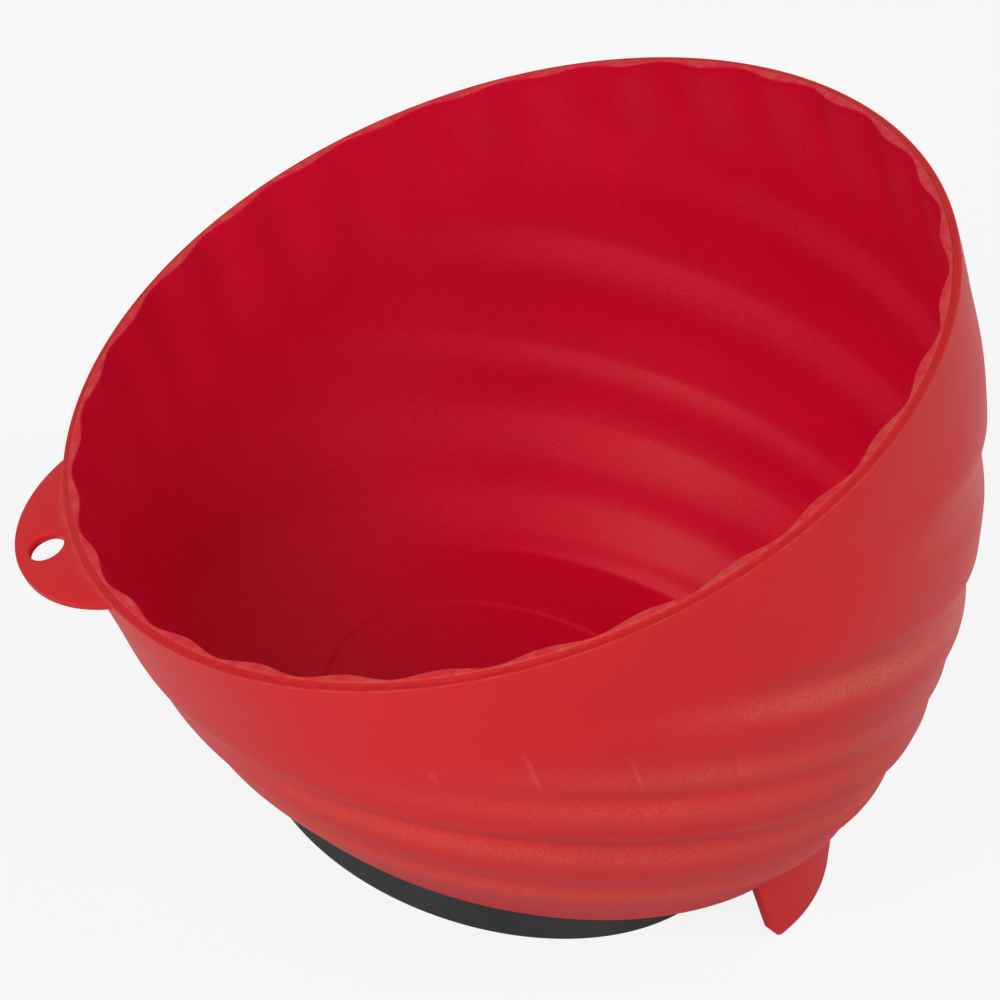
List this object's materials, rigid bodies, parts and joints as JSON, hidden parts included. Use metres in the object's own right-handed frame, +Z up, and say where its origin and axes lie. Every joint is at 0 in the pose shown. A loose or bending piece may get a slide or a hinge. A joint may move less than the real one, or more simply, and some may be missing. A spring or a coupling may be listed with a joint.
{
  "type": "magnetic parts tray",
  "caption": "Deep round parts bowl that leans toward a low lip with a hanging tab, with a stepped wall, a crescent foot under the tall side and a round magnetic base.",
  "frame": {"origin": "centre of the round base's underside, on the seat plane", "axes": "+Z up from the seat along the base's axis, -X toward the low lip and its tab, +X toward the tall side"},
  "size_m": [0.1604, 0.15, 0.1294],
  "materials": {
    "red_plastic": "satin moulded polypropylene, fine grain",
    "black_rubber": "matte",
    "plated_steel": "bright zinc plate",
    "ferrite": "dull sintered ferrite"
  },
  "bodies": {
    "root": {"bowl": "red_plastic", "base_boot": "black_rubber", "magnet_cup": "plated_steel", "ring_magnet": "ferrite", "screw": "plated_steel", "washer": "plated_steel", "lock_washer": "plated_steel", "nut": "plated_steel"}
  },
  "joints": []
}
